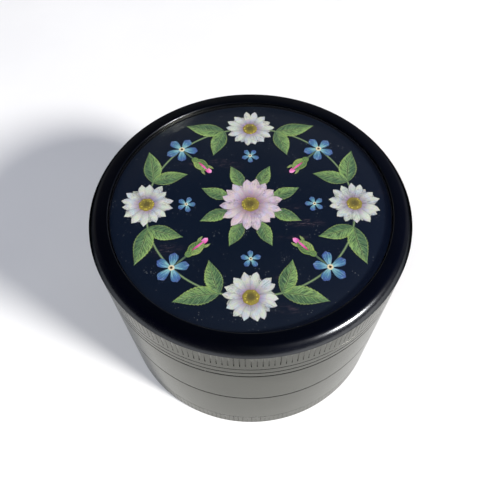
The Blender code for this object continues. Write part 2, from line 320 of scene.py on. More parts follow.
METAL = black_metal("black_anodised_gloss")
# painted shade: the lid's top faces get a darker copy of the same metal, with almost no grazing reflection, so the top
# stays black
RIM_SHADED = black_metal("black_anodised_rim_shaded", (0.066, 0.069, 0.074), 0.22, 0.6, 1.0, 0.04)


# ---------------------------------------------------------------- mesh helpers
def build(name, verts, faces, mats, smooth=35.0, attributes=None, face_mats=None):
    """A mesh object from millimetre points."""
    mesh = bpy.data.meshes.new(name)
    mesh.from_pydata((np.asarray(verts, float) * MM).tolist(), [], faces)
    mesh.update()
    for m in mats:
        mesh.materials.append(m)
    if face_mats is not None:
        mesh.polygons.foreach_set("material_index", np.asarray(face_mats, np.int32))
    for key, values in (attributes or {}).items():
        values = np.asarray(values, np.float32)
        if values.ndim == 2:
            if values.shape[1] == 3:
                values = np.concatenate([values, np.ones((len(values), 1), np.float32)], 1)
            layer = mesh.attributes.new(key, "FLOAT_COLOR", "POINT")
            layer.data.foreach_set("color", values.ravel())
        else:
            layer = mesh.attributes.new(key, "FLOAT", "POINT")
            layer.data.foreach_set("value", values)
    obj = bpy.data.objects.new(name, mesh)
    scene.collection.objects.link(obj)
    if smooth:
        mesh.shade_smooth()
        mesh.set_sharp_from_angle(angle=math.radians(smooth))
    return obj


class Shape:
    """Collects points, faces and point attributes before they become one mesh."""

    def __init__(self):
        self.v, self.f, self.m, self.n = [], [], [], 0
        self.a = {}

    def add(self, verts, faces, mat=0, **attributes):
        verts = np.asarray(verts, float)
        k = self.n
        self.v.append(verts)
        self.f.extend([tuple(i + k for i in face) for face in faces])
        self.m.extend([mat] * len(faces))
        for key, val in attributes.items():
            val = np.asarray(val, float)
            if val.ndim == 0 or (val.ndim == 1 and len(val) in (3, 4) and len(val) != len(verts)):
                val = np.broadcast_to(val, (len(verts),) + val.shape).copy()
            self.a.setdefault(key, {})[len(self.v) - 1] = val
        self.n += len(verts)
        return self

    def object(self, name, mats, smooth=35.0):
        attributes = {}
        for key, parts in self.a.items():
            width = max(p.shape[1] if p.ndim == 2 else 0 for p in parts.values())
            blocks = []
            for i, v in enumerate(self.v):
                if i in parts:
                    blocks.append(parts[i])
                else:
                    blocks.append(np.zeros((len(v), width)) if width else np.zeros(len(v)))
            attributes[key] = np.concatenate(blocks)
        return build(name, np.concatenate(self.v), self.f, mats, smooth, attributes, self.m)


def lathe(profile, angles, move=None, wear=None):
    """Points and faces of a turned body.

    profile lists (r, z) down the outer side first; a profile with both ends on
    the axis is closed there with flat caps.  move(i, angle) gives changes of
    (r, z) for a row at all the angles.
    """
    capped = profile[0][0] == 0.0 and profile[-1][0] == 0.0
    rows = profile[1:-1] if capped else profile
    n = len(angles)
    ca, sa = np.cos(angles), np.sin(angles)
    verts, wears = [], []
    for i, (r, z) in enumerate(rows):
        rr, zz = np.full(n, float(r)), np.full(n, float(z))
        if move is not None:
            got = move(i, r, z, angles)
            if got is not None:
                rr, zz = rr + got[0], zz + got[1]
        verts.append(np.stack([rr * ca, rr * sa, zz], 1))
        wears.append(wear(i, r, z, angles) if wear is not None else np.zeros(n))
    verts = np.concatenate(verts)
    m = len(rows)
    faces = []
    js = np.arange(n)
    jn = (js + 1) % n
    last = m - 1 if capped else m
    for i in range(last):
        k, l = i * n, ((i + 1) % m) * n
        faces.extend(zip((k + js).tolist(), (l + js).tolist(), (l + jn).tolist(), (k + jn).tolist()))
    if capped:
        faces.append(tuple(range(n)))
        faces.append(tuple(range((m - 1) * n, m * n))[::-1])
    return verts, faces, np.concatenate(wears)


def even(n, start=0.0):
    return start + TAU * np.arange(n) / n


def arc(cx, cz, rx, rz, start, end, n):
    a = np.radians(np.linspace(start, end, n + 1))
    return [(cx + rx * math.cos(x), cz + rz * math.sin(x)) for x in a]


def wobble(angles, seed, terms=6, low=2, high=40):
    """A smooth periodic noise round a circle, about -1 to 1."""
    rng = np.random.default_rng(seed)
    out = np.zeros_like(angles)
    for _ in range(terms):
        out += rng.normal() * np.cos(rng.integers(low, high) * angles + rng.random() * TAU)
    return out / math.sqrt(terms)


def nicks(angles, seed, count, width, spread=None):
    """Small dents at random places round an edge: 0 to 1."""
    rng = np.random.default_rng(seed)
    out = np.zeros_like(angles)
    for _ in range(count):
        c = rng.random() * TAU if spread is None else rng.normal(*spread)
        w = width * (0.4 + rng.random())
        d = np.abs((angles - c + math.pi) % TAU - math.pi)
        out = np.maximum(out, (0.4 + 0.6 * rng.random()) * np.clip(1 - d / w, 0, 1))
    return out


def marks_at(angles, degrees, width):
    """Small nicks at given places round an edge: 0 to 1."""
    out = np.zeros_like(angles)
    for k, d in enumerate(degrees):
        away = np.abs((angles - math.radians(d) + math.pi) % TAU - math.pi)
        out = np.maximum(out, (0.65 + 0.35 * ((k * 7) % 5) / 4) * np.clip(1 - away / (width * (0.7 + 0.15 * ((k * 3) % 4))), 0, 1))
    return out


def helix(r_root, r_crest, z_low, z_high, phase, base=0.62, crest=0.30, steps=90):
    """Screw ridges, one for each start, that fade in and out at their ends."""
    s = Shape()
    inward = r_crest < r_root
    r_wall = r_root + (0.35 if inward else -0.35)
    rise = z_high - z_low - base
    turns = rise / LEAD
    n = max(12, int(turns * steps))
    for k in range(STARTS):
        a0 = phase + TAU * k / STARTS
        t = np.linspace(0, 1, n + 1)
        ang = a0 + TAU * turns * t
        zc = z_low + base / 2 + rise * t
        fade = np.clip(np.minimum(t, 1 - t) * turns * 14, 0.02, 1.0)
        top = r_root + (r_crest - r_root) * fade
        rings = []
        prof = [(r_wall, -base / 2 - 0.1), (r_wall, base / 2 + 0.1), (None, base / 2), (1, crest / 2), (0.93, 0), (1, -crest / 2), (None, -base / 2)]
        prof = [(r_wall, -0.41), (r_wall, 0.41), ("c", 0.17, 0.90), ("c", 0.10, 1.0), ("c", -0.10, 1.0), ("c", -0.17, 0.90)]
        for q in prof:
            if q[0] == "c":
                rr = r_root + (top - r_root) * q[2]
                zz = zc + q[1]
            else:
                rr = np.full(n + 1, q[0])
                zz = zc + q[1]
            rings.append(np.stack([rr * np.cos(ang), rr * np.sin(ang), zz], 1))
        m = len(rings)
        v = np.stack(rings, 1).reshape(-1, 3)
        f = []
        for i in range(n):
            for j in range(m):
                a_, b_ = i * m + j, i * m + (j + 1) % m
                q = (a_, a_ + m, b_ + m, b_)
                f.append(q if inward else q[::-1])
        first, end = tuple(range(m)), tuple(range(n * m, n * m + m))[::-1]
        f.append(first if inward else first[::-1])
        f.append(end if inward else end[::-1])
        s.add(v, f)
    return np.concatenate(s.v), s.f


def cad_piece(obj, body, slot, *nodes):
    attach(obj, body)
    if nodes:
        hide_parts(*nodes)
    return obj


# ------------------------------------------------------------ knurl and grooves
def knurl_angles(count):
    """Five columns for each groove: its two lips, the two sides of its bottom, and the land between."""
    pitch = TAU / count
    steps = np.array([-0.085, -0.022, 0.022, 0.085, 0.5])
    return (np.arange(count)[:, None] * pitch + steps[None, :] * pitch).ravel() - math.pi / 2, np.tile([0, 1, 1, 0, 0], count)


def knurl_cut(count, seed, depth=0.075):
    angles, is_floor = knurl_angles(count)
    rng = np.random.default_rng(seed)
    deep = np.repeat(depth * (0.85 + 0.3 * rng.random(count)), 5)
    return angles, -deep * is_floor


# ---------------------------------------------------------------------- the lid
def make_lid():
    angles, cut = knurl_cut(196, 11)
    n = len(angles)
    rows = []           # (r, z, knurl share)
    rows += [(27.60, 44.22, 0), (27.62, 44.31, 0), (27.69, 44.38, 0), (27.8, 44.4, 0), (29.5, 44.4, 0)]
    for t in [0.0, 0.08, 0.17, 0.26, 0.35, 0.44, 0.53, 0.62, 0.71, 0.80, 0.88, 0.95, 0.98, 1.0]:
        p0, p1, p2 = np.array([29.7, Z_TOP]), np.array([30.60, Z_TOP]), np.array([R, Z_EDGE])
        r, z = (1 - t) ** 2 * p0 + 2 * t * (1 - t) * p1 + t * t * p2
        rows.append((r, z, 0))
    rows += [(R, 42.81, 0), (R, 42.72, 0), (R, 42.60, 1.0), (R, 40.7, 1.0), (R, 39.10, 1.0), (R, 38.92, 2.2), (R, 38.76, 2.2), (R, 38.72, 0), (R, 38.60, 0), (R, 38.52, 0)]
    for zc, half, deep in ((37.25, 0.11, 0.12), (35.39, 0.15, 0.24)):
        rows += [(R, zc + half + 0.12, 0), (R, zc + half + 0.03, 0), (R - 0.02, zc + half, 0), (R - deep, zc + half * 0.55, 0),
                 (R - deep, zc - half * 0.55, 0), (R - 0.02, zc - half, 0), (R, zc - half - 0.03, 0), (R, zc - half - 0.12, 0)]
    rows += [(R, 34.2, 0), (R, 33.93, 0), (R, 33.83, 0), (R - 0.04, 33.73, 0), (R - 0.13, 33.69, 0), (30.9, 33.69, 0)]
    rows += [(30.1, 33.69, 0), (30.1, 34.9, 0), (28.75, 34.9, 0), (28.75, 39.2, 0), (28.2, 39.8, 0)]
    profile = [(0.0, Z_RECESS), (27.2, Z_RECESS), (27.55, Z_RECESS + 0.1)] + [(a, b) for a, b, _ in rows]
    under = [(5.7, Z_PLATE), (5.55, 39.3), (5.25, 34.9), (5.0, 34.5), (4.0, 34.5), (3.8, 34.62), (3.8, 37.1), (0.0, 37.1)]
    profile += under
    share = [0, 0] + [c for _, _, c in rows] + [0] * 7
    lid_nicks = (-106, -100.5, -97, -79.5, -74, -61, -57.5, 20, 74, 131, 163, 214)
    dent = marks_at(angles, lid_nicks, 0.010) * 0.06

    def move(i, r, z, a):
        dr = np.zeros(n)
        dz = np.zeros(n)
        if share[i]:
            dr += cut * share[i]
        if abs(z - 33.69) < 0.25 and r > 30.85:
            dr -= dent * (1.0 if r > 31.2 else 0.0)
            dz += dent * 0.6 * (1.0 if z < 33.8 else 0.3)
        return dr, dz

    def wear(i, r, z, a):
        if abs(z - 33.69) < 0.15 and r > 31.2:
            return marks_at(a, lid_nicks, 0.009)
        return np.zeros(n)

    s = Shape()
    v, f, w = lathe(profile, angles, move, wear)
    tops = v[np.array([q[0] for q in f])][:, 2]
    s.add(v, f, 0, wear=w)
    # painted shade: the faces of the top take the darker shaded copy of the metal
    for i in np.nonzero(tops > 42.75)[0]:
        s.m[i] = 1
    add_teeth(s, LID_RINGS, Z_PLATE + 0.3, 26.5 + 0.8)
    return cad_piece(s.object("lid_shell", [METAL, RIM_SHADED]), "lid_body", "black_anodised", "lid")


# ------------------------------------------------------------------ the teeth
RING_1, RING_STEP = 9.2, 3.7
TOOTH_R, TOOTH_T, TAPER = 1.42, 2.15, 0.80
LID_RINGS = ((0, 5, 0.0), (2, 8, 11.0), (4, 12, 4.0))
CHAMBER_RINGS = ((1, 6, 20.0), (3, 10, 0.0))
HOLE_RINGS = ((1, 6, 50.0), (2, 8, 4.5), (3, 10, 18.0))


def add_teeth(s, rings, z_root, z_tip):
    """Diamond teeth with narrow flats along their four edges and a broken edge round the tip."""
    up = z_tip > z_root
    side = 1.0 if up else -1.0
    cut = 0.07
    for ring, count, first in rings:
        r0 = RING_1 + ring * RING_STEP
        for i in range(count):
            a = math.radians(first + 360.0 * i / count)
            rad, tan = np.array([math.cos(a), math.sin(a)]), np.array([-math.sin(a), math.cos(a)])
            levels = [(z_root, 1.0), (z_tip - side * 0.22, TAPER + 0.004), (z_tip - side * 0.06, TAPER * 0.97), (z_tip, TAPER * 0.90)]
            v = []
            for z, k in levels:
                hr, ht = TOOTH_R * k, TOOTH_T * k
                corners = [(hr, 0), (0, ht), (-hr, 0), (0, -ht)]
                for c in range(4):
                    here, nxt, prv = np.array(corners[c]), np.array(corners[(c + 1) % 4]), np.array(corners[c - 1])
                    for q in (here + (prv - here) * cut, here + (nxt - here) * cut):
                        xy = r0 * rad + q[0] * rad + q[1] * tan
                        v.append((xy[0], xy[1], z))
            f = []
            m = 8
            for l in range(len(levels) - 1):
                for j in range(m):
                    q = (l * m + j, l * m + (j + 1) % m, (l + 1) * m + (j + 1) % m, (l + 1) * m + j)
                    f.append(q if up else q[::-1])
            cap0, cap1 = tuple(range(m))[::-1], tuple(range((len(levels) - 1) * m, len(levels) * m))
            f.append(cap0 if up else cap0[::-1])
            f.append(cap1 if up else cap1[::-1])
            s.add(v, f, 0, wear=np.zeros(len(v)))


# ------------------------------------------------------- chamber, store and cup
def band_rows(high, low, soft=0.14):
    """The outer side of a plain band, with a small broken edge at top and bottom."""
    k = soft * 0.3
    return [(R - soft, high), (R - k, high - k), (R, high - soft), (R, high - soft - 0.1), (R, high - soft - 0.5),
            (R, low + soft + 0.5), (R, low + soft + 0.1), (R, low + soft), (R - k, low + k), (R - soft, low)]


def away_from_key(a):
    return np.where(np.abs((a + math.radians(31) + math.pi) % TAU - math.pi) < 0.65, 0.0, 1.0)


def edge_wear(high, low, seed, top=26, bottom=14):
    def wear(i, r, z, a):
        out = np.zeros_like(a)
        if r > 31.2 and abs(z - high) < 0.1:
            out = nicks(a, seed, top, 0.006) * away_from_key(a)
        if r > 31.2 and abs(z - low) < 0.1:
            out = nicks(a, seed + 1, bottom, 0.006) * away_from_key(a)
        return out
    return wear


def edge_dents(high, low, seed):
    def move(i, r, z, a):
        if r > 31.2 and (abs(z - high) < 0.1 or abs(z - low) < 0.1):
            d = nicks(a, seed, 12, 0.010) * 0.05 * away_from_key(a)
            return -d, d * (-0.6 if abs(z - high) < 0.1 else 0.6)
        return None
    return move


def floor_plate(r_out, low, high, rings, hole_r, r_in=None):
    """A plate with round holes whose edges are broken, as points and faces."""
    curve = bpy.data.curves.new("plate", "CURVE")
    curve.dimensions = "2D"
    curve.fill_mode = "BOTH"
    bevel = 0.16
    curve.extrude = ((high - low) / 2 - bevel) * MM
    curve.bevel_depth = bevel * MM
    curve.bevel_resolution = 1
    curve.offset = -bevel * MM

    def circle(cx, cy, rad, n):
        spline = curve.splines.new("POLY")
        spline.points.add(n - 1)
        for k in range(n):
            a = TAU * k / n
            spline.points[k].co = ((cx + rad * math.cos(a)) * MM, (cy + rad * math.sin(a)) * MM, 0, 1)
        spline.use_cyclic_u = True

    circle(0, 0, r_out, 180)
    if r_in:
        circle(0, 0, r_in, 64)
    for ring, count, first in rings:
        r0 = RING_1 + ring * RING_STEP
        for i in range(count):
            a = math.radians(first + 360.0 * i / count)
            circle(r0 * math.cos(a), r0 * math.sin(a), hole_r, 40)
    obj = bpy.data.objects.new("plate", curve)
    scene.collection.objects.link(obj)
    bpy.context.view_layer.update()
    mesh = bpy.data.meshes.new_from_object(obj.evaluated_get(bpy.context.evaluated_depsgraph_get()))
    v = np.array([x.co for x in mesh.vertices]) / MM
    v[:, 2] += (high + low) / 2
    f = [tuple(p.vertices) for p in mesh.polygons]
    bpy.data.objects.remove(obj)
    bpy.data.meshes.remove(mesh)
    return v, f


def make_chamber():
    high, low = Z_LID - SEAM / 2, Z_STORE + SEAM / 2
    angles = even(720)
    profile = [(26.0, 26.9), (26.0, 38.6), (26.15, 38.9), (26.4, 39.0), (27.9, 39.0), (28.2, 38.88), (28.3, 38.6),
               (28.3, 33.6), (28.45, high), (29.9, high)]
    profile += band_rows(high, low)
    profile += [(29.0, low), (27.7, low), (27.7, 15.9), (27.3, 15.5), (26.3, 15.5), (26.0, 15.8), (26.0, 24.1), (25.4, 25.2), (25.6, 26.6)]
    s = Shape()
    v, f, w = lathe(profile, angles, edge_dents(high, low, 31), edge_wear(high, low, 33, 14, 3))
    s.add(v, f, 0, wear=w)
    v, f = floor_plate(25.95, 24.0, 26.5, HOLE_RINGS, 1.9)
    s.add(v, f, 0, wear=np.zeros(len(v)))
    boss = [(0.0, 30.9), (3.8, 30.9), (3.8, 33.38), (4.0, 33.5), (4.95, 33.5), (5.2, 33.3), (5.5, 28.0), (5.9, 26.9), (6.6, 26.45), (6.6, 25.2), (0.0, 25.2)]
    v, f, w = lathe(boss, even(96))
    s.add(v, f, 0, wear=w)
    add_teeth(s, CHAMBER_RINGS, 26.2, Z_PLATE - 0.8)
    v, f = helix(27.7, 28.5, 15.65, 19.85, TAU * 0.35 / LEAD)
    s.add(v, f, 0, wear=np.zeros(len(v)))
    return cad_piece(s.object("grinding_chamber_shell", [METAL]), "chamber_body", "black_anodised", "grinding_chamber")


def make_store():
    high, low = Z_STORE - SEAM / 2, Z_CUP + 0.05
    profile = [(27.0, 15.2), (27.2, 15.0), (28.9, 15.0), (28.9, high - 0.25), (29.15, high), (30.2, high)]
    profile += band_rows(high, low)[:-3] + [(R, low + 0.06), (R - 0.02, low + 0.02), (R - 0.06, low)]
    profile += [(30.2, low), (29.15, low), (28.9, low + 0.25), (28.9, 9.4), (28.4, 9.4), (28.4, 11.2), (27.2, 11.2), (27.0, 11.4)]
    s = Shape()
    v, f, w = lathe(profile, even(720), edge_dents(high, low, 41), edge_wear(high, low, 43, 3, 3))
    s.add(v, f, 0, wear=w)
    v, f = helix(28.9, 28.1, 5.25, 9.15, math.pi / 2 + TAU * 0.10 / LEAD)
    s.add(v, f, 0, wear=np.zeros(len(v)))
    v, f = helix(28.9, 28.1, 15.3, 19.5, math.pi / 2)
    s.add(v, f, 0, wear=np.zeros(len(v)))
    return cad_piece(s.object("storage_chamber_shell", [METAL]), "storage_body", "black_anodised", "storage_chamber")


def make_cup():
    high = Z_CUP - 0.05
    angles, cut = knurl_cut(192, 17, 0.07)
    outer = [(R - 0.06, high, 0), (R - 0.02, high - 0.02, 0), (R, high - 0.06, 0), (R, high - 0.10, 0.3), (R, high - 0.30, 1), (R, 2.6, 1),
             (R, 0.80, 1), (R, 0.62, 0), (R, 0.52, 0), (R - 0.1, 0.2, 0), (R - 0.28, 0.05, 0), (R - 0.5, 0.0, 0)]
    profile = [(0.0, 1.8), (23.0, 1.8)] + arc(23.0, 4.8, 3.0, 3.0, -80, 0, 8)
    profile += [(26.0, 8.9), (26.12, 9.12), (26.35, 9.2), (27.35, 9.2), (27.6, 9.1), (27.7, 8.85), (27.7, high + 0.1), (27.8, high), (30.0, high)]
    start = len(profile) - 1
    profile += [(a, b) for a, b, _ in outer]
    profile += [(28.6, 0.0), (28.4, 0.12), (28.1, 0.12), (27.9, 0.0), (0.0, 0.0)]
    share = [0] * start + [c for _, _, c in outer] + [0] * 8

    def move(i, r, z, a):
        return (cut * share[i], 0.0) if share[i] else None

    s = Shape()
    v, f, w = lathe(profile, angles, move, edge_wear(high, 0.1, 51, 3, 5))
    s.add(v, f, 0, wear=w)
    v, f = helix(27.7, 28.5, 5.15, 9.05, 0.0)
    s.add(v, f, 0, wear=np.zeros(len(v)))
    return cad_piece(s.object("bottom_cup_shell", [METAL]), "cup_body", "black_anodised", "bottom_cup")


make_lid()
make_chamber()
make_store()
make_cup()


# =============================================================================
# The inlay: a dark printed disc with a regular pearly flower and leaf pattern
# =============================================================================
ART_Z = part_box("inlay_disc")[1].z / MM        # top of the disc
CLIP_R = 27.25


def lin(r, g, b):
    """Linear colour from 0-255 values."""
    c = np.array([r, g, b], float) / 255.0
    return np.where(c <= 0.04045, c / 12.92, ((c + 0.055) / 1.055) ** 2.4) * 1.12


def clip_to_disc(x, y):
    r = np.hypot(x, y)
    k = np.where(r > CLIP_R, CLIP_R / np.maximum(r, 1e-9), 1.0)
    return x * k, y * k


def as_grid(value, shape):
    value = np.asarray(value, float)
    return np.broadcast_to(value, shape + value.shape[-1:]) if value.ndim == 1 else value


def slab(s, x, y, z_top, tone, pu, pv, pid, mat=0):
    """A thin closed body from a grid of points: its top, its edge and its underside on the disc."""
    n, m = x.shape
    x, y = clip_to_disc(x, y)
    r = np.hypot(x, y)
    if np.all(r > CLIP_R - 1e-6):
        return
    top = np.stack([x, y, np.broadcast_to(z_top, x.shape)], -1).reshape(-1, 3)
    loop = [i * m for i in range(n)] + [(n - 1) * m + j for j in range(1, m)] + \
           [i * m + m - 1 for i in range(n - 2, -1, -1)] + [j for j in range(m - 2, 0, -1)]
    low = top[loop].copy()
    low[:, 2] = ART_Z - 0.01
    k = len(top)
    faces = []
    for i in range(n - 1):
        for j in range(m - 1):
            faces.append((i * m + j, (i + 1) * m + j, (i + 1) * m + j + 1, i * m + j + 1))
    c = len(loop)
    for q in range(c):
        faces.append((loop[(q + 1) % c], loop[q], k + q, k + (q + 1) % c))
    faces.append(tuple(range(k, k + c))[::-1])
    tone = as_grid(tone, (n, m)).reshape(-1, 3)
    pu, pv = np.broadcast_to(pu, (n, m)).ravel(), np.broadcast_to(pv, (n, m)).ravel()
    s.add(np.concatenate([top, low]), faces, mat,
          tone=np.concatenate([tone, tone[loop]]), pu=np.concatenate([pu, pu[loop]]),
          pv=np.concatenate([pv, pv[loop]]), pid=np.full(k + c, float(pid)))


def strip(s, base, angle, length, half, profile, bend=0.0, z=0.03, cup=0.0, nu=18, nv=6,
          tone=(0.5, 0.5, 0.5), pid=0.0, mat=0, tip=None, ragged=None):
    """A petal or leaf: a tapered strip along a bent centre line."""
    u = 1 - (1 - np.linspace(0, 1, nu + 1)) ** 1.8
    v = np.linspace(-1, 1, nv + 1)
    th = np.radians(angle + bend * u)
    mid = (th[:-1] + th[1:]) / 2
    step = length * np.diff(u)
    cx = base[0] + np.concatenate([[0], np.cumsum(np.cos(mid) * step)])
    cy = base[1] + np.concatenate([[0], np.cumsum(np.sin(mid) * step)])
    U, V = np.meshgrid(u, v, indexing="ij")
    w = half * profile(u)[:, None] * np.ones_like(V)
    if ragged is not None:
        w = w * ragged(U, V)
    ahead = length * tip(U, V) if tip is not None else 0.0
    x = cx[:, None] - np.sin(th)[:, None] * w * V + np.cos(th)[:, None] * ahead
    y = cy[:, None] + np.cos(th)[:, None] * w * V + np.sin(th)[:, None] * ahead
    zt = ART_Z + z + cup * (1 - V ** 2) * np.sin(np.pi * np.clip(U, 0, 1))
    t = tone(U, V) if callable(tone) else tone
    slab(s, x, y, zt, t, U, V, pid, mat)


def between(a, b, t):
    return np.asarray(a, float) + (np.asarray(b, float) - np.asarray(a, float)) * np.asarray(t)[..., None]


def blend3(a, b, c, t):
    t = np.clip(t, 0, 1)[..., None]
    a, b, c = (np.asarray(q, float) for q in (a, b, c))
    return np.where(t < 0.5, a + (b - a) * t * 2, b + (c - b) * (t * 2 - 1))


def smooth_curve(points, per=8, closed=False):
    """A Catmull-Rom curve through the points."""
    p = np.asarray(points, float)
    n = len(p)
    out = []
    for i in range(n if closed else n - 1):
        if closed:
            a, b, c, d = p[(i - 1) % n], p[i], p[(i + 1) % n], p[(i + 2) % n]
        else:
            a, b, c, d = p[max(i - 1, 0)], p[i], p[i + 1], p[min(i + 2, n - 1)]
        t = np.linspace(0, 1, per, endpoint=False)[:, None]
        out.append(0.5 * (2 * b + (c - a) * t + (2 * a - 5 * b + 4 * c - d) * t ** 2 + (3 * b - a - 3 * c + d) * t ** 3))
    out = np.concatenate(out)
    return out if closed else np.concatenate([out, p[-1:]])


def line(s, points, half, z=0.03, tone=(0.2, 0.2, 0.2), mat=0, per=8, ends=(0.4, 0.25), closed=False, pid=0.0):
    """A fine drawn line, fuller in its middle."""
    c = smooth_curve(points, per, closed)
    if closed:
        c = np.concatenate([c, c[:1]])
    d = np.gradient(c, axis=0)
    d /= np.maximum(np.linalg.norm(d, axis=1, keepdims=True), 1e-9)
    t = np.linspace(0, 1, len(c))
    w = half * np.minimum(1, np.minimum(ends[0] + t * 4, ends[1] + (1 - t) * 4)) if not closed else np.full(len(c), half)
    v = np.array([-1.0, 0.0, 1.0])
    x = c[:, 0][:, None] - d[:, 1][:, None] * w[:, None] * v
    y = c[:, 1][:, None] + d[:, 0][:, None] * w[:, None] * v
    slab(s, x, y, ART_Z + z, tone, t[:, None] * np.ones(3), v[None, :] * np.ones((len(c), 1)), pid, mat)


def patch(s, points, z=0.04, tone=(0.5, 0.5, 0.5), pid=0.0, mat=0, rings=5, per=6, toward=None, inner=None):
    """A closed rounded outline, filled by rings that close in on its middle."""
    edge = smooth_curve(points, per, closed=True)
    area = 0.5 * np.sum(edge[:, 0] * np.roll(edge[:, 1], -1) - np.roll(edge[:, 0], -1) * edge[:, 1])
    if area < 0:
        edge = edge[::-1]
    centre = edge.mean(0) if toward is None else np.asarray(toward, float)
    n = len(edge)
    inner = tone if inner is None else inner
    v, f, pu, pv, col = [], [], [], [], []
    for k in range(rings):
        q = k / rings
        v.append(edge + (centre - edge) * q)
        pu.append(np.arange(n) / n)
        pv.append(np.full(n, 1 - q))
        col.append(np.broadcast_to(between(tone, inner, np.array(q)), (n, 3)))
    v.append(centre[None])
    pu.append([0.5])
    pv.append([0.0])
    col.append(np.asarray(inner, float)[None])
    v = np.concatenate(v)
    x, y = clip_to_disc(v[:, 0], v[:, 1])
    top = np.stack([x, y, np.full(len(x), ART_Z + z)], 1)
    low = top[:n].copy()
    low[:, 2] = ART_Z - 0.01
    for k in range(rings - 1):
        for i in range(n):
            j = (i + 1) % n
            f.append((k * n + i, k * n + j, (k + 1) * n + j, (k + 1) * n + i))
    c = rings * n
    for i in range(n):
        f.append(((rings - 1) * n + i, (rings - 1) * n + (i + 1) % n, c))
    m = len(top)
    for i in range(n):
        j = (i + 1) % n
        f.append((j, i, m + i, m + j))
    f.append(tuple(range(m, m + n))[::-1])
    col = np.concatenate(col)
    pu, pv = np.concatenate(pu), np.concatenate(pv)
    s.add(np.concatenate([top, low]), f, mat, tone=np.concatenate([col, col[:n]]), pu=np.concatenate([pu, pu[:n]]),
          pv=np.concatenate([pv, pv[:n]]), pid=np.full(m + n, float(pid)))


# ----------------------------------------------------------------- ink and pearl
def pearl(t, base, p, amount=0.35, scale=0.55):
    """Shifts a colour through the soft pinks and greens of shell, in drifting bands."""
    n = t.noise(p, scale, 3.0, 0.6)
    bands = t.math("FRACT", t.math("MULTIPLY", n, 3.2))
    tint = t.ramp(bands, [(0.0, (0.74, 0.97, 1.0)), (0.2, (1.0, 0.82, 0.92)), (0.42, (0.84, 1.0, 0.86)), (0.62, (1.0, 0.96, 0.74)), (0.82, (0.90, 0.82, 1.0)), (1.0, (0.74, 0.97, 1.0))])
    return t.mix(amount, base, t.mix(1.0, base, tint, "MULTIPLY"))


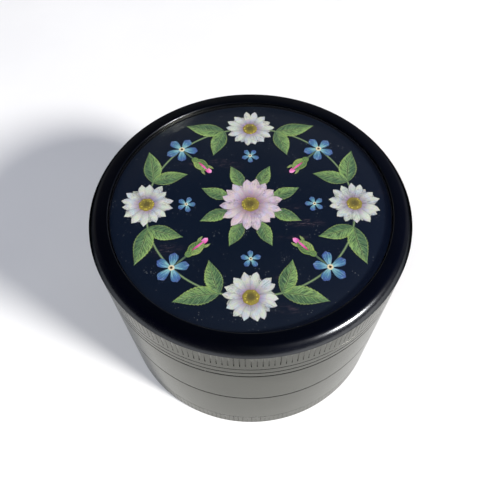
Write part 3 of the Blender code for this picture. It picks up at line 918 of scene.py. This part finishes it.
def art_material(name, kind, rough=0.30, metal=0.0, pearly=0.5):
    t = Tree(name)
    p = t.position()
    u, v, k = t.attr("pu"), t.attr("pv"), t.attr("pid")
    side = t.math("ABSOLUTE", v)
    base = t.attr_colour("tone")
    own = t.join(t.math("MULTIPLY", u, 2.2), t.math("ADD", t.math("MULTIPLY", v, 3.0), t.math("MULTIPLY", k, 13.7)), k)
    height = t.noise(p, 6.0, 3.0)
    if kind == "petal":
        veins = t.noise(t.join(t.math("MULTIPLY", u, 1.3), t.math("ADD", t.math("MULTIPLY", v, 5.5), t.math("MULTIPLY", k, 9.1)), 0.0), 1.0, 3.0, 0.6)
        base = t.mix(t.smooth(veins, 0.40, 0.70, 0.0, 0.30), base, (0.30, 0.27, 0.36))
        strokes = t.noise(t.join(t.math("MULTIPLY", u, 6.0), t.math("ADD", t.math("MULTIPLY", v, 9.0), t.math("MULTIPLY", k, 5.3)), k), 1.0, 3.0, 0.7)
        here = t.smooth(t.noise(p, 0.33, 2.0), 0.50, 0.60)
        base = t.mix(t.math("MULTIPLY", t.smooth(strokes, 0.52, 0.60, 0.0, 0.70), here), base, (0.06, 0.07, 0.09))
        own = t.noise(t.join(t.math("MULTIPLY", k, 3.1), 0.0, 0.0), 1.0, 0.0)
        base = t.mix(t.smooth(own, 0.35, 0.65, 0.0, 0.5), base, t.mix(1.0, base, (0.80, 0.83, 0.86), "MULTIPLY"))
        # painted shade: the side of each petal with v below zero is darkened, standing in for the shadow of the
        # overlapping petal
        base = t.mix(t.smooth(v, -0.2, -0.9, 0.0, 0.45), base, t.mix(1.0, base, (0.66, 0.64, 0.72), "MULTIPLY"))
        base = t.mix(t.smooth(side, 0.84, 0.97, 0.0, 0.80), base, (0.13, 0.12, 0.17))
        height = t.math("ADD", height, veins)
    elif kind == "leaf":
        wave = t.math("SINE", t.math("MULTIPLY", t.math("SUBTRACT", u, t.math("MULTIPLY", side, 0.22)), 46.0))
        lateral = t.smooth(wave, 0.90, 0.99)
        hatch = t.noise(t.join(t.math("MULTIPLY", t.math("SUBTRACT", u, t.math("MULTIPLY", side, 0.22)), 34.0), t.math("MULTIPLY", v, 1.7), k), 1.0, 3.0, 0.65)
        base = t.mix(t.smooth(hatch, 0.47, 0.57, 0.0, 0.80), base, (0.020, 0.042, 0.034))
        base = t.mix(t.smooth(hatch, 0.42, 0.34, 0.0, 0.45), base, (0.44, 0.58, 0.26))
        base = t.mix(t.math("MULTIPLY", lateral, 0.30), base, (0.46, 0.60, 0.26))
        base = t.mix(t.smooth(side, 0.12, 0.06, 0.0, 0.60), base, (0.40, 0.52, 0.22))
        base = t.mix(t.smooth(side, 0.055, 0.03, 0.0, 0.95), base, (0.014, 0.026, 0.018))
        rag = t.math("ADD", side, t.math("MULTIPLY", t.math("SUBTRACT", hatch, 0.5), 0.5))
        base = t.mix(t.smooth(rag, 0.80, 0.96, 0.0, 0.60), base, (0.36, 0.46, 0.13))
        base = t.mix(t.smooth(side, 0.95, 0.99, 0.0, 0.55), base, (0.05, 0.07, 0.03))
        height = t.math("ADD", height, wave)
    elif kind == "pollen":
        dots = t.voronoi(p, 2.3, "Distance", "F1", 0.8)
        base = t.mix(t.smooth(dots, 0.16, 0.44, 0.0, 0.75), base, (0.12, 0.09, 0.03))
        base = t.mix(t.smooth(dots, 0.14, 0.04, 0.0, 0.6), base, (0.85, 0.72, 0.26))
        height = t.math("MULTIPLY", dots, -2.0)
    elif kind == "blue":
        rays = t.noise(t.join(t.math("MULTIPLY", u, 1.6), t.math("ADD", t.math("MULTIPLY", v, 6.0), t.math("MULTIPLY", k, 7.7)), 0.0), 1.0, 3.0, 0.6)
        base = t.mix(t.smooth(rays, 0.46, 0.64, 0.0, 0.55), base, (0.030, 0.060, 0.17))
        base = t.mix(t.smooth(rays, 0.46, 0.34, 0.0, 0.50), base, (0.50, 0.80, 0.82))
        base = t.mix(t.smooth(side, 0.80, 0.98, 0.0, 0.65), base, (0.045, 0.05, 0.20))
        height = t.math("ADD", height, rays)
    if pearly:
        base = pearl(t, base, p, pearly)
    t.set(base=base, rough=rough, metal=metal, ior=1.48, normal=t.bump(height, 0.00001, 0.25))
    return t.mat


PETAL = art_material("inlay_petals", "petal", 0.28, 0.0, 0.75)
LEAF = art_material("inlay_leaves", "leaf", 0.30, 0.0, 0.5)
POLLEN = art_material("inlay_pollen", "pollen", 0.34, 0.0, 0.3)
BLUE = art_material("inlay_blue_petals", "blue", 0.28, 0.0, 0.6)
BUD = art_material("inlay_buds", "bud", 0.26, 0.0, 0.5)
INK = art_material("inlay_ink", "plain", 0.30, 0.0, 0.0)


def rounded(full=0.62, root=0.30, power=0.5):
    """A petal's half width along its length: a narrow root, a broad round end."""
    def f(u):
        a = root + (1 - root) * np.sin(np.clip(u / full, 0, 1) * np.pi / 2) ** 1.3
        e = np.clip(1 - ((u - full) / (1 - full)) ** 2, 0, 1) ** power
        return np.maximum(np.where(u < full, a, e), 0.03)
    return f


def pointed(full=0.45, power=1.0, root=0.06):
    def f(u):
        a = root + (1 - root) * np.sin(np.clip(u / full, 0, 1) * np.pi / 2) ** 0.8
        e = np.cos(np.clip((u - full) / (1 - full), 0, 1) * np.pi / 2) ** power
        return np.maximum(np.where(u < full, a, e), 0.02)
    return f


def notched(depth=0.05):
    return lambda U, V: -depth * np.clip(U - 0.7, 0, 1) / 0.3 * (np.cos(V * np.pi * 2.2) * 0.5 + 0.5 + V ** 2)


white, lilac, cool = lin(208, 209, 202), lin(178, 140, 186), lin(188, 206, 202)
pollen_low, pollen_high = lin(92, 88, 44), lin(212, 194, 78)


def daisy(petals, hearts, centre, radius, seed, count=13, squash=1.0, turn=0.0, layers=2, heart=0.30, z0=0.02, hues=None):
    rng = np.random.default_rng(seed)
    hues = hues or (lilac, white, cool)
    for layer in range(layers):
        for i in range(count):
            a = turn + 360.0 * (i + 0.5 * layer) / count + rng.normal() * 3.0
            reach = radius * (0.84 + 0.16 * layer) * (0.93 + 0.12 * rng.random())
            # painted shade: the lower layer of petals is darkened to 0.72, as if shaded by the layer above
            below = 0.72 if layer == 0 else 1.0
            # petals foreshorten as the flower is tilted
            d = np.array([math.cos(math.radians(a)), math.sin(math.radians(a)) * squash])
            k = np.linalg.norm(d)
            ang = math.degrees(math.atan2(d[1], d[0]))
            start = np.asarray(centre) + d * radius * heart * 0.72
            length = reach * k - radius * heart * 0.72 * k
            c0, c1, c2 = hues
            mix = rng.random()
            outer = c1 * (1 - 0.35 * mix) + c2 * 0.35 * mix
            strip(petals, start, ang, length, radius * (0.148 + 0.03 * rng.random()), rounded(0.58, 0.34, 0.55), bend=rng.normal() * 7,
                  z=z0 + 0.016 * layer + 0.0009 * i, cup=0.035, nu=16, nv=8,
                  tone=lambda U, V, c0=c0, o=outer, w=c1, b=below: blend3(c0 * 0.62, o, w, -0.04 + U * 1.05) * b,
                  pid=rng.random() * 20, tip=notched(0.02 + 0.03 * rng.random()))
    # the heart: a low dome of florets
    n = 40
    rings = 9
    a = TAU * np.arange(n + 1) / n
    q = np.linspace(0.0, 1.0, rings)[::-1]
    rr = radius * heart * q[None, :]
    x = centre[0] + np.cos(a)[:, None] * rr * (1 + 0.03 * np.sin(7 * a))[:, None]
    y = centre[1] + np.sin(a)[:, None] * rr * squash * (1 + 0.03 * np.sin(7 * a))[:, None] - radius * 0.02
    r_ = np.hypot(x, y)
    if not np.all(r_ > CLIP_R):
        x, y = clip_to_disc(x, y)
        zt = ART_Z + z0 + 0.06 + 0.07 * np.sqrt(np.clip(1 - q[None, :] ** 2, 0, 1)) * np.ones_like(x)
        v, f = [], []
        for j in range(rings - 1):
            for i in range(n):
                v.append((x[i, j], y[i, j], zt[i, j]))
        v.append((centre[0], centre[1] - radius * 0.02, ART_Z + z0 + 0.13))
        if math.hypot(v[-1][0], v[-1][1]) > CLIP_R:
            cx, cy = clip_to_disc(np.array([v[-1][0]]), np.array([v[-1][1]]))
            v[-1] = (cx[0], cy[0], v[-1][2])
        for i in range(n):
            v.append((x[i, 0], y[i, 0], ART_Z - 0.01))
        m = (rings - 1) * n
        for j in range(rings - 2):
            for i in range(n):
                f.append((j * n + i, j * n + (i + 1) % n, (j + 1) * n + (i + 1) % n, (j + 1) * n + i))
        for i in range(n):
            f.append(((rings - 2) * n + i, (rings - 2) * n + (i + 1) % n, m))
            f.append(((i + 1) % n, i, m + 1 + i, m + 1 + (i + 1) % n))
        f.append(tuple(range(m + 1, m + 1 + n))[::-1])
        v = np.array(v)
        far = np.hypot(v[:, 0] - centre[0], (v[:, 1] - centre[1]) / squash) / (radius * heart)
        light = np.clip((far - 0.30) * 2.2, 0, 1) * np.clip(1.9 - far, 0.55, 1)
        col = between(pollen_low, pollen_high, light)
        hearts.add(v, f, 0, tone=col, pu=far, pv=far * 0 + 0.3, pid=far * 0)


def forget_me_not(petals, hearts, centre, radius, turn, seed, count=5, z0=0.03):
    rng = np.random.default_rng(seed)
    deep, mid, pale = lin(70, 84, 146), lin(76, 124, 160), lin(150, 198, 194)
    for i in range(count):
        a = turn + 360.0 * i / count + rng.normal() * 2
        start = (centre[0] + math.cos(math.radians(a)) * radius * 0.12, centre[1] + math.sin(math.radians(a)) * radius * 0.12)
        strip(petals, start, a, radius * 0.88 * (0.95 + 0.1 * rng.random()), radius * 0.275, rounded(0.70, 0.30, 0.5), bend=rng.normal() * 5,
              z=z0 + 0.001 * i, cup=0.03, nu=16, nv=8, pid=rng.random() * 20,
              tone=lambda U, V: blend3(pale, mid, deep, U * 1.0 + 0.10 * V), tip=notched(0.04))
    for i in range(count):
        a = turn + 360.0 * (i + 0.5) / count
        strip(hearts, centre, a - 3, radius * 0.20, radius * 0.045, pointed(0.5), z=z0 + 0.045, nu=6, nv=2, tone=lin(186, 180, 150), mat=1)
    dot = [(centre[0] + radius * 0.17 * math.cos(TAU * i / 10), centre[1] + radius * 0.17 * math.sin(TAU * i / 10)) for i in range(10)]
    patch(hearts, dot, z=z0 + 0.06, tone=lin(214, 204, 176), inner=lin(196, 170, 112), rings=3, per=3, mat=1)
    dot = [(centre[0] + radius * 0.075 * math.cos(TAU * i / 8), centre[1] + radius * 0.075 * math.sin(TAU * i / 8)) for i in range(8)]
    patch(hearts, dot, z=z0 + 0.07, tone=lin(60, 40, 30), rings=2, per=3, mat=1)


def leaf(s, base, end, half, bend=0.0, seed=0, z=0.02, teeth=13, light_side=1):
    base, end = np.asarray(base, float), np.asarray(end, float)
    d = end - base
    dark, green, bright = lin(56, 84, 70), lin(98, 132, 84), lin(150, 180, 108)

    def tone(U, V):
        t = np.clip(0.5 + 0.5 * V * light_side, 0, 1)
        return blend3(dark, green, bright, t * 0.85 + 0.15 * U)

    def ragged(U, V):
        saw = (U * teeth) % 1.0
        return 1 - 0.13 * saw * (np.abs(V) > 0.9) * np.clip(np.sin(np.pi * U) * 2, 0, 1)

    strip(s, base, math.degrees(math.atan2(d[1], d[0])) - bend / 2, np.linalg.norm(d) * (1 + abs(math.radians(bend)) ** 2 / 24), half,
          pointed(0.40, 1.20, 0.10), bend=bend, z=z, cup=0.03, nu=teeth * 6, nv=8, tone=tone, pid=seed, ragged=ragged)


def bud(leaves, flowers, inks, base, end, width, z=0.03):
    base, end = np.asarray(base, float), np.asarray(end, float)
    d = end - base
    length = np.linalg.norm(d)
    ang = math.degrees(math.atan2(d[1], d[0]))
    side = np.array([-d[1], d[0]]) / length
    pink, deep = lin(222, 96, 170), lin(170, 34, 96)
    green, dark, bright = lin(104, 138, 76), lin(66, 92, 58), lin(156, 176, 104)
    strip(flowers, base + d * 0.52, ang + 2, length * 0.50, width * 0.19, rounded(0.7, 0.7, 0.5), z=z, cup=0.02, nu=12, nv=6,
          tone=lambda U, V: blend3(deep, pink, lin(238, 160, 206), U + 0.2 * V), pid=3, tip=notched(0.03))
    strip(leaves, base, ang, length * 0.80, width * 0.50, rounded(0.42, 0.35, 0.7), z=z + 0.015, cup=0.03, nu=18, nv=8,
          tone=lambda U, V: blend3(bright, green, dark, 0.40 + 0.45 * V + 0.12 * np.sin(V * 11)), pid=5)
    strip(flowers, base + d * 0.22 + side * width * 0.05, ang - 3, length * 0.62, width * 0.085, pointed(0.5, 1.0), z=z + 0.05, nu=12, nv=4,
          tone=lambda U, V: blend3(deep, pink, pink, U), pid=7)
    for q, w in ((0.55, 0.32), (-0.62, 0.30)):
        strip(leaves, base + d * 0.62 + side * width * q * 0.5, ang + q * 42, length * w, width * 0.11, pointed(0.35, 1.0, 0.4), bend=-q * 40, z=z + 0.02, nu=10, nv=4,
              tone=lambda U, V: blend3(green, bright, bright, U), pid=9)
    strip(leaves, base - d * 0.10, ang, length * 0.24, width * 0.26, rounded(0.5, 0.5, 0.5), z=z + 0.055, cup=0.02, nu=8, nv=6,
          tone=green, pid=2)


# ------------------------------------------------------------------- the pattern
def around(r, degrees):
    return np.array([r * math.cos(math.radians(degrees)), r * math.sin(math.radians(degrees))])


def make_inlay():
    """A regular wreath of plain flowers and leaves round a rosette, the same in each quarter."""
    petals, leaves, blues, hearts, inks, pinks = (Shape() for _ in range(6))
    stem, stem_high = lin(80, 98, 76), lin(124, 142, 98)
    ring = [tuple(around(20.4, 15.0 * i)) for i in range(24)]
    line(inks, ring, 0.22, tone=stem, z=0.02, closed=True)
    line(inks, ring, 0.08, tone=stem_high, z=0.03, closed=True)

    for k in range(4):
        square, slant = 90.0 * k, 90.0 * k + 45.0
        daisy(petals, hearts, around(20.4, square), 5.1, 21 + k, count=14, turn=square, heart=0.30, z0=0.08)
        forget_me_not(blues, hearts, around(20.4, slant), 3.3, slant, 31 + k, z0=0.08)
        forget_me_not(blues, hearts, around(12.6, square), 1.9, square + 180, 41 + k, z0=0.06)
        line(inks, [around(q, slant) for q in (20.4, 18.8, 17.4, 16.2)], 0.18, tone=stem, z=0.025)
        bud(leaves, pinks, inks, around(16.4, slant), around(11.4, slant), 2.6, z=0.06)
        for side in (1, -1):
            base = around(20.4, square + side * 16)
            leaf(leaves, base, around(25.4, square + side * 33), 1.95, bend=-side * 14, seed=2 * k + side, z=0.035, light_side=side)
            leaf(leaves, base, around(14.9, square + side * 31), 1.75, bend=side * 14, seed=2 * k + side + 20, z=0.045, light_side=-side)
            turn = square + side * 22.5
            leaf(leaves, around(4.6, turn), around(10.6, turn), 1.5, bend=side * 8, seed=2 * k + side + 40, z=0.03, teeth=9, light_side=side)
    # the rosette in the middle
    daisy(petals, hearts, (0.0, 0.0), 6.2, 7, count=16, turn=0, heart=0.28, z0=0.08, hues=(lin(176, 128, 158), lin(214, 192, 204), lin(206, 208, 212)))

    done = []
    for name, shape, mats in (("inlay_petals", petals, [PETAL]), ("inlay_leaves", leaves, [LEAF]), ("inlay_blue_flowers", blues, [BLUE]),
                              ("inlay_pollen", hearts, [POLLEN, INK]), ("inlay_buds", pinks, [BUD]), ("inlay_lines", inks, [INK])):
        done.append(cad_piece(shape.object(name, mats, smooth=50.0), "lid_body", "printed_pearl"))
    return done


def ground_material():
    """Dark navy shell: nearly black, with drifting scratches that catch pink and silver."""
    t = Tree("inlay_ground")
    p = t.position()
    s = t.split(p)
    slow = t.noise(p, 0.07, 2.0)
    base = t.mix(t.smooth(slow, 0.3, 0.7), (0.0012, 0.0044, 0.0125), (0.0022, 0.0058, 0.0145))
    base = t.mix(t.smooth(s[0], -6.0, 22.0, 0.0, 0.35), base, (0.0028, 0.0056, 0.0125))
    turned = t.join(t.math("ADD", t.math("MULTIPLY", s[0], 0.55), t.math("MULTIPLY", s[1], 0.20)), t.math("SUBTRACT", t.math("MULTIPLY", s[1], 3.4), t.math("MULTIPLY", s[0], 0.5)), 0.0)
    strokes = t.noise(turned, 1.0, 5.0, 0.72)
    zone = t.smooth(t.noise(t.join(t.math("MULTIPLY", s[0], 0.5), s[1], 7.0), 0.16, 2.0), 0.62, 0.74, 0.0, 0.5)
    for cx, cy, rx, ry, power in ((10.6, -4.6, 4.6, 1.3, 1.0), (8.8, -7.9, 3.2, 0.8, 0.8), (8.6, -0.7, 2.6, 0.9, 0.6), (-1.5, -2.2, 4.5, 1.6, 0.45), (-12.0, 10.4, 3.0, 0.6, 0.5), (5.5, -16.5, 3.0, 0.7, 0.4)):
        dx, dy = t.math("DIVIDE", t.math("SUBTRACT", s[0], cx), rx), t.math("DIVIDE", t.math("SUBTRACT", s[1], cy), ry)
        away = t.math("SQRT", t.math("ADD", t.math("MULTIPLY", dx, dx), t.math("MULTIPLY", dy, dy)))
        zone = t.math("MAXIMUM", zone, t.smooth(away, 1.0, 0.2, 0.0, power))
    lines = t.math("MULTIPLY", t.smooth(strokes, 0.50, 0.66), zone)
    base = t.mix(t.math("MULTIPLY", lines, 0.50), base, (0.24, 0.16, 0.18))
    fine = t.noise(t.join(t.math("MULTIPLY", s[0], 0.9), t.math("MULTIPLY", s[1], 9.0), 0.0), 1.0, 4.0, 0.7)
    base = t.mix(t.math("MULTIPLY", t.smooth(fine, 0.56, 0.72, 0.0, 0.10), t.smooth(t.noise(p, 0.11, 1.0), 0.42, 0.62)), base, (0.055, 0.065, 0.085))
    dots = t.voronoi(p, 1.9, "Distance")
    on = t.math("LESS_THAN", dots, t.math("MULTIPLY", t.smooth(t.noise(p, 0.35, 1.0), 0.42, 0.70), 0.17))
    base = t.mix(t.math("MULTIPLY", on, 0.5), base, (0.24, 0.25, 0.26))
    t.set(base=base, rough=0.38, normal=t.bump(t.math("ADD", strokes, fine), 0.00001, 0.3))
    return t.mat


def cover_material():
    """A clear lacquered cover: see-through, with a thin bright reflection."""
    t = Tree("clear_cover_gloss")
    clear = t.node("ShaderNodeBsdfTransparent")
    clear.inputs["Color"].default_value = (0.985, 0.99, 0.99, 1)
    gloss = t.node("ShaderNodeBsdfGlossy")
    gloss.inputs["Roughness"].default_value = 0.06
    p = t.position()
    wave = t.noise(p, 0.35, 2.0)
    t.put(gloss.inputs["Normal"], t.bump(wave, 0.00006, 0.25))
    both = t.node("ShaderNodeMixShader")
    both.inputs[0].default_value = 0.05
    t.nt.links.new(clear.outputs[0], both.inputs[1])
    t.nt.links.new(gloss.outputs[0], both.inputs[2])
    t.nt.links.new(both.outputs[0], t.out.inputs["Surface"])
    t.nt.nodes.remove(t.bsdf)
    return t.mat


def make_disc_and_cover():
    s = Shape()
    profile = [(0.0, 43.3), (20.0, 43.3), (27.25, 43.3), (27.36, 43.27), (27.4, 43.2), (27.4, 42.6), (27.36, 42.53), (27.25, 42.5), (0.0, 42.5)]
    v, f, w = lathe(profile, even(240))
    s.add(v, f, 0)
    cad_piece(s.object("inlay_ground", [ground_material()]), "lid_body", "printed_pearl", "inlay_disc")
    s = Shape()
    profile = [(0.0, 44.1), (27.1, 44.1), (27.3, 44.09), (27.42, 44.06), (27.47, 44.0), (27.48, 43.9), (27.48, 43.7), (27.45, 43.63), (27.38, 43.6), (0.0, 43.6)]
    v, f, w = lathe(profile, even(240))
    s.add(v, f, 0)
    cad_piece(s.object("clear_cover_lens", [cover_material()]), "lid_body", "clear_cover", "inlay_cover")


make_disc_and_cover()
make_inlay()


# ------------------------------------------------- screen, rings, magnets, glue
def bright_metal(name, tint, rough, grain, stain):
    """Steel or nickel: fine drawn lines, cloudy stains, a few deeper scratches."""
    t = Tree(name)
    p = t.position()
    r, a, z = polar_coords(t, p)
    lines = t.noise(t.join(t.math("MULTIPLY", r, grain), t.math("MULTIPLY", a, 2.0), t.math("MULTIPLY", z, grain)), 1.0, 3.0, 0.6)
    cloud = t.noise(p, 0.8, 3.0, 0.6)
    base = t.mix(t.smooth(cloud, 0.35, 0.70), tint, [c * 0.80 for c in tint])
    base = t.mix(t.smooth(lines, 0.45, 0.70, 0.0, 0.35), base, [c * 1.18 for c in tint])
    base = t.mix(t.smooth(t.noise(p, 2.4, 3.0), 0.60, 0.72, 0.0, stain), base, (0.30, 0.26, 0.20))
    s = t.split(p)
    scratch = t.noise(t.join(t.math("MULTIPLY", s[0], 0.6), t.math("MULTIPLY", t.math("ADD", s[1], t.math("MULTIPLY", s[0], 0.35)), 14.0), 0.0), 1.0, 2.0, 0.6)
    scratched = t.smooth(scratch, 0.66, 0.72)
    roughness = t.math("ADD", t.math("MULTIPLY", cloud, 0.10), t.math("ADD", rough - 0.05, t.math("MULTIPLY", scratched, 0.12)))
    height = t.math("SUBTRACT", t.math("MULTIPLY", lines, 0.5), t.math("MULTIPLY", scratched, 0.8))
    t.set(base=base, rough=roughness, metal=1.0, normal=t.bump(height, 0.00001, 0.5))
    return t.mat


def nylon_material():
    t = Tree("white_nylon")
    p = t.position()
    r, a, z = polar_coords(t, p)
    cloud = t.noise(p, 0.35, 3.0)
    base = t.mix(t.smooth(cloud, 0.3, 0.7), (0.74, 0.74, 0.71), (0.80, 0.80, 0.78))
    marks = t.noise(t.join(t.math("MULTIPLY", r, 11.0), t.math("MULTIPLY", a, 5.0), t.math("MULTIPLY", z, 11.0)), 1.0, 3.0)
    base = t.mix(t.smooth(marks, 0.58, 0.74, 0.0, 0.22), base, (0.42, 0.41, 0.38))
    dirt = t.voronoi(p, 0.9, "Distance")
    base = t.mix(t.math("MULTIPLY", t.math("LESS_THAN", dirt, 0.07), 0.35), base, (0.18, 0.17, 0.15))
    t.set(base=base, rough=t.math("ADD", 0.36, t.math("MULTIPLY", marks, 0.16)), ior=1.53, subsurf=0.0, normal=t.bump(t.math("ADD", marks, cloud), 0.00003, 0.4))
    return t.mat


def glue_material():
    t = Tree("glue_film")
    p = t.position()
    s = t.split(p)
    swirl = t.noise(t.join(t.math("MULTIPLY", s[0], 0.5), t.math("MULTIPLY", s[1], 1.6), 0.0), 0.6, 4.0, 0.6)
    bubbles = t.voronoi(p, 0.7, "Distance")
    base = t.mix(t.smooth(swirl, 0.3, 0.7), (0.50, 0.47, 0.38), (0.66, 0.63, 0.54))
    base = t.mix(t.smooth(bubbles, 0.16, 0.10, 0.0, 0.5), base, (0.80, 0.78, 0.72))
    t.set(base=base, rough=t.math("ADD", 0.34, t.math("MULTIPLY", swirl, 0.2)), ior=1.48, normal=t.bump(t.math("SUBTRACT", swirl, t.smooth(bubbles, 0.2, 0.1)), 0.00006, 0.5))
    return t.mat


def make_screen():
    """Plain woven wires, each passing over and under the ones across it."""
    pitch, wire, lift, z0, reach = 1.0, 0.068, 0.074, 10.75, 27.95
    count = int(reach / pitch)
    s = Shape()
    sides = 5
    for across_x in (True, False):
        for k in range(-count, count + 1):
            off = k * pitch
            half = math.sqrt(max(reach ** 2 - off ** 2, 0.0))
            if half < 1.5:
                continue
            first, last = math.ceil(-half / (pitch / 2)), math.floor(half / (pitch / 2))
            t = np.concatenate([[-half], np.arange(first, last + 1) * pitch / 2, [half]])
            t = t[np.concatenate([[True], np.diff(t) > 0.08])]
            sign = (1 if across_x else -1) * (1 if k % 2 == 0 else -1)
            z = z0 + sign * lift * np.cos(math.pi * t / pitch)
            slope = -sign * lift * math.pi / pitch * np.sin(math.pi * t / pitch)
            b = TAU * (np.arange(sides) + 0.5) / sides
            side = wire * np.cos(b)[None, :] * np.ones((len(t), 1))
            up = wire * np.sin(b)[None, :] * np.ones((len(t), 1))
            n = np.sqrt(1 + slope ** 2)[:, None]
            along = t[:, None] - up * slope[:, None] / n
            height = z[:, None] + up / n
            x, y = (along, off + side) if across_x else (off + side, along)
            v = np.stack([x, y, height], -1).reshape(-1, 3)
            f = []
            m = len(t)
            for i in range(m - 1):
                for j in range(sides):
                    q = (i * sides + j, i * sides + (j + 1) % sides, (i + 1) * sides + (j + 1) % sides, (i + 1) * sides + j)
                    f.append(q[::-1] if across_x else q)
            c0, c1 = tuple(range(sides)), tuple(range((m - 1) * sides, m * sides))[::-1]
            f += [c0, c1] if across_x else [c0[::-1], c1[::-1]]
            s.add(v, f, 0)
    mat = bright_metal("stainless_wire", (0.56, 0.55, 0.52), 0.26, 6.0, 0.25)
    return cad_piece(s.object("sifting_mesh", [mat], smooth=60.0), "screen_body", "stainless_mesh", "sifting_screen")


def soft_ring(name, r_in, r_out, low, high, soft, mats, body, slot, node, angles=None, move=None):
    k = soft * 0.3
    profile = [(r_in + soft, high), (r_out - soft, high), (r_out - k, high - k), (r_out, high - soft), (r_out, low + soft), (r_out - k, low + k), (r_out - soft, low),
               (r_in + soft, low), (r_in + k, low + k), (r_in, low + soft), (r_in, high - soft), (r_in + k, high - k)]
    s = Shape()
    v, f, w = lathe(profile, even(360) if angles is None else angles, move)
    s.add(v, f, 0)
    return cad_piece(s.object(name, mats), body, slot, node)


def soft_disc(name, r, low, high, soft, mats, body, slot, node, dish=0.0, n=128, move=None):
    k = soft * 0.3
    profile = [(0.0, high - dish), (r * 0.5, high - dish * 0.5), (r - soft * 2, high), (r - soft, high), (r - k, high - k), (r, high - soft), (r, low + soft), (r - k, low + k), (r - soft, low), (0.0, low)]
    profile[0] = (0.0, profile[1][1])
    s = Shape()
    v, f, w = lathe(profile, even(n), move)
    s.add(v, f, 0)
    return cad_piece(s.object(name, mats), body, slot, node)


def make_small_pieces():
    steel = bright_metal("ring_steel", (0.58, 0.57, 0.55), 0.30, 7.0, 0.20)
    nickel = bright_metal("nickel_plate", (0.64, 0.61, 0.55), 0.16, 4.0, 0.15)
    soft_ring("screen_clamp_ring", 26.6, 28.1, 9.5, 10.3, 0.10, [steel], "screen_body", "ring_steel", "screen_ring")
    soft_ring("slip_ring_nylon", 28.6, 29.8, 33.69, 34.6, 0.12, [nylon_material()], "slip_ring_body", "white_nylon", "slip_ring")
    soft_disc("chamber_magnet_disc", 3.5, 31.2, 33.2, 0.22, [nickel], "chamber_magnet_body", "nickel_plate", "chamber_magnet")
    soft_disc("lid_magnet_disc", 3.5, 34.8, 36.8, 0.22, [nickel], "lid_body", "nickel_plate", "lid_magnet")

    def ooze(i, r, z, a):
        return (wobble(a, 4, 8, 2, 24) * 0.18 - 0.25, 0.0) if r > 26 else None

    soft_disc("glue_film_pad", 26.4, 41.9, 42.2, 0.08, [glue_material()], "lid_body", "glue_film", "inlay_glue_pad", move=ooze)


make_screen()
make_small_pieces()


# ---------------------------------------------------------------------- floor
def make_floor():
    t = Tree("studio_floor")
    p = t.position()
    base = t.mix(t.smooth(t.noise(p, 0.02, 3.0), 0.3, 0.7), (0.83, 0.83, 0.83), (0.86, 0.86, 0.855))
    t.set(base=base, rough=0.75, normal=t.bump(t.noise(p, 1.4, 2.0), 0.00002, 0.4))
    v = [(-2000, -2000, 0), (2000, -2000, 0), (2000, 2000, 0), (-2000, 2000, 0)]
    v = [(x * 3, y * 3, z) for x, y, z in v]
    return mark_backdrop(build("studio_floor", v, [(0, 1, 2, 3)], [t.mat], smooth=None))


make_floor()
